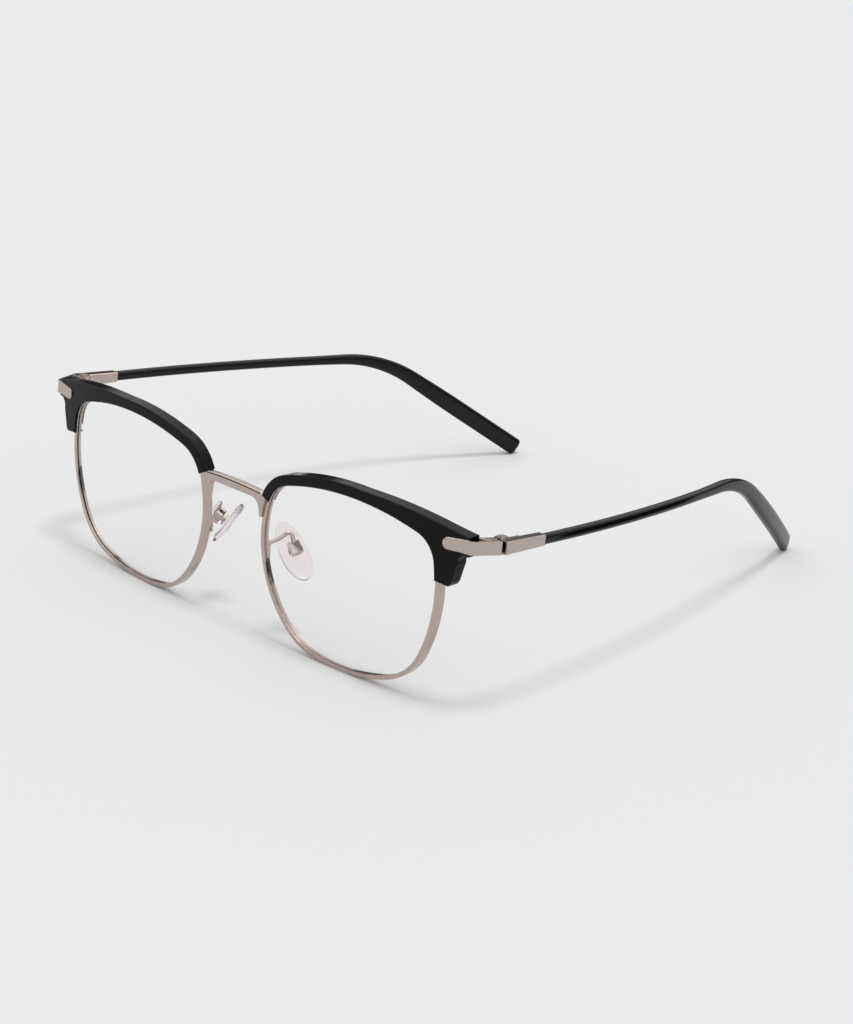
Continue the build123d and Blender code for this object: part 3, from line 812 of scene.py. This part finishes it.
    def _angles(self, distance: float) -> Tuple[float, float]:
        """The way that the middle line turns up to a place.

        Args:
            distance: The distance behind the hinge, in millimetres.

        Returns:
            The inward turn and the ear bend's drop, in radians.
        """
        bend_length = self.bend_radius * math.radians(self.bend_angle)
        bent = min(max(distance - self.bend_start, 0.0), bend_length)
        return distance / self.curve_radius, bent / self.bend_radius

    def _heading(self, turn: float, drop: float) -> Vector:
        """The direction of the middle line before the temple's own pitch."""
        inwards = -math.sin(turn) * math.cos(drop) * self.side.sign
        return Vector((inwards, math.cos(turn) * math.cos(drop), -math.sin(drop)))

    def _tilt(self) -> Matrix:
        """The temple's pitch as a rotation, from the fold joint's axis."""
        axis = self.joint["axis"]
        return Matrix.Rotation(-math.atan2(abs(axis[1]), abs(axis[2])), 3, "X")


@dataclass
class NosePad:
    """One clear nose pad: a soft oval with a rounded rim, bent a little towards the nose.

    Lengths are in millimetres and angles in degrees.

    Attributes:
        side: The pad's side.
        lean: How far the long axis leans outwards from upright.
        splay: How far the pad's face opens towards the back.
        half_length: Half the pad's length.
        half_width: Half its greatest width.
        half_depth: Half its thickness.
        roundness: How round its rim is, 1 being an ellipse and less being squarer.
        fuller_below: The share of its width that it loses from the lower end to the middle, and
            again from there to the upper end.
        bend: How far its middle stands out over its ends.
        around: The number of points round the pad.
        rings: The number of steps from one face to the other.
    """

    side: Side
    lean: float = 41.0
    splay: float = 27.0
    half_length: float = 7.35
    half_width: float = 3.5
    half_depth: float = 0.9
    roundness: float = 0.62
    fuller_below: float = 0.07
    bend: float = 0.35
    around: int = 96
    rings: int = 28

    def build(self) -> bpy.types.Object:
        """Builds the pad, dresses it and puts it on the pad's body.

        Returns:
            The pad.
        """
        low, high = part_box(self.side.node("nose_pad"))
        middle = (Vector(low) + Vector(high)) / 2
        points = [middle + MM * self._point(-1.0, 0.0)]
        for ring in range(1, self.rings):
            level = -1.0 + 2.0 * ring / self.rings
            points += [
                middle + MM * self._point(level, 2 * math.pi * step / self.around)
                for step in range(self.around)
            ]
        points.append(middle + MM * self._point(1.0, 0.0))
        mesh = bpy.data.meshes.new(self.side.node("pad"))
        mesh.from_pydata([tuple(point) for point in points], [], self._faces())
        mesh.materials.append(Palette.PAD.material())
        work = bmesh.new()
        work.from_mesh(mesh)
        bmesh.ops.recalc_face_normals(work, faces=work.faces)
        for face in work.faces:
            face.smooth = True
        work.to_mesh(mesh)
        work.free()
        piece = bpy.data.objects.new(mesh.name, mesh)
        bpy.context.scene.collection.objects.link(piece)
        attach(piece, self.side.node("pad"))
        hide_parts(self.side.node("nose_pad"))
        LOG.info("built %s", piece.name)
        return piece

    def _point(self, level: float, turn: float) -> Vector:
        """A point of the surface from the pad's middle, in millimetres.

        Args:
            level: -1 at the middle of the arm's face, 1 at the middle of the nose's face.
            turn: The angle round the pad, in radians.

        Returns:
            The offset from the middle.
        """
        sign = self.side.sign
        lean, splay = math.radians(self.lean), math.radians(self.splay)
        down = Vector((sign * math.sin(lean), 0.0, -math.cos(lean)))
        face = Vector(
            (
                -sign * math.cos(lean) * math.cos(splay),
                math.sin(splay),
                -math.sin(lean) * math.cos(splay),
            )
        )
        side = face.cross(down)
        height = math.pi / 2 * level
        reach = abs(math.cos(height)) ** self.roundness if abs(level) < 1.0 else 0.0
        lift = math.copysign(abs(math.sin(height)) ** self.roundness, level)
        along, across = reach * math.cos(turn), reach * math.sin(turn)
        width = self.half_width * (1.0 - self.fuller_below + self.fuller_below * along)
        bent = self.bend * (0.5 - along * along)
        depth = self.half_depth * lift + bent
        return down * self.half_length * along + side * width * across + face * depth

    def _faces(self) -> List[Tuple[int, ...]]:
        """Joins the points up: a fan at each pole and quads between the rings.

        Returns:
            The faces, as numbers of points.
        """
        last = 1 + (self.rings - 1) * self.around
        faces: List[Tuple[int, ...]] = []
        for step in range(self.around):
            after = (step + 1) % self.around
            faces.append((0, 1 + after, 1 + step))
            faces.append((last, last - self.around + step, last - self.around + after))
            for ring in range(self.rings - 2):
                low, high = 1 + ring * self.around, 1 + (ring + 1) * self.around
                faces.append((low + step, low + after, high + after, high + step))
        return faces


@dataclass
class Part:
    """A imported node, or a mirrored pair, that keeps its shape and gets a finish.

    Attributes:
        stem: The node's name, without its side.
        finish: What it is dressed in.
        mirrored: True where there is one on each side.
    """

    stem: str
    finish: Union[SolidFinish, ClearFinish]
    mirrored: bool = True

    def names(self) -> List[str]:
        """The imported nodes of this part."""
        return [side.node(self.stem) for side in Side] if self.mirrored else [self.stem]

    def dress(self, nodes: Dict[str, bpy.types.Object]) -> None:
        """Puts the finish on every node of this part.

        Args:
            nodes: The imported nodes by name.
        """
        for name in self.names():
            piece = nodes[name]
            piece.data.materials.clear()
            piece.data.materials.append(self.finish.material())
            LOG.info("dressed %s in %s", name, self.finish.name)


@dataclass
class Studio:
    """The pale table, the light and the camera.

    Attributes:
        pale: The tone of the backdrop and of the lit table, linear.
        table_colour: The table's own colour, linear.
        table_half: Half the table's side.
        light: How bright the light on the table is, where 1 shows its colour as written.
        key_share: The key lamp's share of the light on the table.
        key_towards: The direction from the object to the key lamp.
        key_angle: How wide the key lamp looks, in degrees.
        mirrored_sky: The sky's tone in a polished surface, by the sine of its height.
        flags: The two opposite corners of each black flag, in metres.
        flag_tone: The flags' own tone, linear.
        camera_place: The camera's place, in metres.
        camera_right: The direction to the right of the picture.
        camera_up: The direction to the top of the picture.
        focal_length: The lens's focal length, in millimetres.
    """

    pale: Colour = (0.831, 0.831, 0.831)
    table_colour: Colour = (0.94, 0.94, 0.94)
    table_half: float = 30.0
    light: float = 0.89
    key_share: float = 0.25
    key_towards: Place = (0.15, 0.0, 1.0)
    key_angle: float = 13.0
    mirrored_sky: Tuple[Tuple[float, float], ...] = (
        (0.0, 0.04),
        (0.18, 0.06),
        (0.29, 0.83),
        (0.60, 0.95),
        (0.80, 1.60),
        (1.0, 1.60),
    )
    flags: Tuple[Tuple[Place, Place], ...] = (
        ((0.1025, -0.008, 0.014), (0.0845, 0.0515, 0.045)),
        ((-0.30, -0.24, 0.02), (-0.14, -0.40, 0.24)),
    )
    flag_tone: float = 0.01
    camera_place: Place = (0.4224, -0.43920, 0.2283)
    camera_right: Place = (0.6995, 0.713, 0.0481)
    camera_up: Place = (-0.2715, 0.2028, 0.9408)
    focal_length: float = 91.6

    def build(self) -> None:
        """Builds the table, world, lamp and camera."""
        self._table()
        self._world()
        self._flags()
        self._key()
        self._camera()
        bpy.context.scene.view_settings.view_transform = "Standard"

    def _table(self) -> None:
        """One large pale square at table height."""
        mesh = bpy.data.meshes.new("table")
        half = self.table_half
        corners = [(-half, -half, 0), (half, -half, 0), (half, half, 0), (-half, half, 0)]
        mesh.from_pydata(corners, [], [(0, 1, 2, 3)])
        table = bpy.data.objects.new("table", mesh)
        bpy.context.scene.collection.objects.link(table)
        material, shader, _ = ShaderKit.material("pale table")
        shader.inputs["Base Color"].default_value = (*self.table_colour, 1.0)
        shader.inputs["Roughness"].default_value = 1.0
        shader.inputs["Specular IOR Level"].default_value = 0.0
        mesh.materials.append(material)

    def _flags(self) -> None:
        """Black studio flags outside the picture, which are only seen where they are mirrored."""
        black, shader, _ = ShaderKit.material("black flag")
        shader.inputs["Base Color"].default_value = (*(self.flag_tone,) * 3, 1.0)
        shader.inputs["Roughness"].default_value = 1.0
        shader.inputs["Specular IOR Level"].default_value = 0.0
        for number, corners in enumerate(self.flags):
            (x_start, y_start, low), (x_end, y_end, high) = corners
            mesh = bpy.data.meshes.new(f"flag_{number}")
            outline = [
                (x_start, y_start, low),
                (x_end, y_end, low),
                (x_end, y_end, high),
                (x_start, y_start, high),
            ]
            mesh.from_pydata(outline, [], [(0, 1, 2, 3)])
            mesh.materials.append(black)
            flag = bpy.data.objects.new(f"flag_{number}", mesh)
            bpy.context.scene.collection.objects.link(flag)
            flag.visible_camera = False
            flag.visible_diffuse = False
            flag.visible_transmission = False
            flag.visible_shadow = False

    def _world(self) -> None:
        """An even sky for diffuse light, and the backdrop for the rays that show the sky itself."""
        world = bpy.data.worlds.new("studio")
        bpy.context.scene.world = world
        world.use_nodes = True
        tree = world.node_tree
        tree.nodes.clear()
        output = tree.nodes.new("ShaderNodeOutputWorld")
        plain = tree.nodes.new("ShaderNodeBackground")
        plain.inputs["Color"].default_value = (1.0, 1.0, 1.0, 1.0)
        plain.inputs["Strength"].default_value = self.light * (1.0 - self.key_share)
        path = tree.nodes.new("ShaderNodeLightPath")
        seen = tree.nodes.new("ShaderNodeBackground")
        tree.links.new(self._backdrop(tree, path), seen.inputs["Color"])
        shown = path.outputs["Is Camera Ray"]
        for kind in ("Is Glossy Ray", "Is Transmission Ray"):
            shown = NodeKit.math(tree, "MAXIMUM", shown, path.outputs[kind])
        direct = NodeKit.math(tree, "LESS_THAN", path.outputs["Diffuse Depth"], 0.5)
        mix = tree.nodes.new("ShaderNodeMixShader")
        tree.links.new(NodeKit.math(tree, "MULTIPLY", shown, direct), mix.inputs[0])
        tree.links.new(plain.outputs[0], mix.inputs[1])
        tree.links.new(seen.outputs[0], mix.inputs[2])
        tree.links.new(mix.outputs[0], output.inputs["Surface"])

    def _backdrop(
        self, tree: bpy.types.NodeTree, path: bpy.types.Node
    ) -> bpy.types.NodeSocket:
        """The backdrop's tone, which goes by its height where a polished surface mirrors it.

        Args:
            tree: The world's tree.
            path: The tree's Light Path node.

        Returns:
            The socket with the tone.
        """
        rise = tree.nodes.new("ShaderNodeSeparateXYZ")
        tree.links.new(tree.nodes.new("ShaderNodeTexCoord").outputs["Generated"], rise.inputs[0])
        ramp = tree.nodes.new("ShaderNodeValToRGB")
        ramp.color_ramp.interpolation = "EASE"
        for level, _ in self.mirrored_sky[2:]:
            ramp.color_ramp.elements.new(level)
        for element, (level, tone) in zip(ramp.color_ramp.elements, self.mirrored_sky):
            element.position = level
            element.color = (tone, tone, tone, 1.0)
        tree.links.new(rise.outputs["Z"], ramp.inputs["Fac"])
        tint = tree.nodes.new("ShaderNodeMix")
        tint.data_type = "RGBA"
        ends = {socket.identifier: socket for socket in tint.inputs}
        ends["A_Color"].default_value = (*self.pale, 1.0)
        tree.links.new(ramp.outputs["Color"], ends["B_Color"])
        tree.links.new(path.outputs["Is Glossy Ray"], ends["Factor_Float"])
        return {socket.identifier: socket for socket in tint.outputs}["Result_Color"]

    def _key(self) -> None:
        """A soft distant lamp almost straight above."""
        towards = Vector(self.key_towards).normalized()
        data = bpy.data.lights.new("key", "SUN")
        data.energy = self.light * self.key_share * math.pi / towards.z
        data.angle = math.radians(self.key_angle)
        lamp = bpy.data.objects.new("key", data)
        lamp.visible_transmission = False
        lamp.rotation_mode = "QUATERNION"
        lamp.rotation_quaternion = towards.to_track_quat("Z", "Y")
        bpy.context.scene.collection.objects.link(lamp)

    def _camera(self) -> None:
        """The main camera, ahead of the spectacles on the wearer's left."""
        data = bpy.data.cameras.new("camera")
        data.lens = self.focal_length
        camera = bpy.data.objects.new("camera", data)
        bpy.context.scene.collection.objects.link(camera)
        right = Vector(self.camera_right).normalized()
        back = right.cross(Vector(self.camera_up)).normalized()
        up = back.cross(right)
        turn = Matrix((right, up, back)).transposed().to_4x4()
        camera.matrix_world = Matrix.Translation(Vector(self.camera_place)) @ turn
        bpy.context.scene.camera = camera


def main() -> None:
    """Builds the scene."""
    logging.basicConfig(level=logging.INFO, format="%(name)s: %(message)s")
    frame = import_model()
    nodes = frame["nodes"]
    parts: Sequence[Part] = (
        Part("bridge", Palette.SILVER, mirrored=False),
        Part("rim", Palette.SILVER),
        Part("lens", Palette.LENS),
        Part("endpiece", Palette.SILVER),
        Part("rim_lock_upper", Palette.SILVER),
        Part("rim_lock_lower", Palette.SILVER),
        Part("rim_lock_screw", Palette.STEEL),
        Part("brow_screw", Palette.STEEL),
        Part("brow", Palette.BROW),
        Part("hinge_leaf_front", Palette.SILVER),
        Part("hinge_leaf_temple", Palette.SILVER),
        Part("hinge_screw", Palette.STEEL),
        Part("temple_core", Palette.WIRE),
        Part("temple_housing", Palette.SILVER),
        Part("pad_insert", Palette.SILVER),
        Part("pad_box", Palette.SILVER),
        Part("pad_screw", Palette.STEEL),
        Part("pad_arm", Palette.SILVER),
    )
    for part in parts:
        part.dress(nodes)
    joints = {joint["name"]: joint for joint in frame["joints"]}
    for side in Side:
        TempleSleeve(side, joints[f"{side.value}_temple_fold"]).build()
        NosePad(side).build()
    Studio().build()


if __name__ == "__main__":
    main()
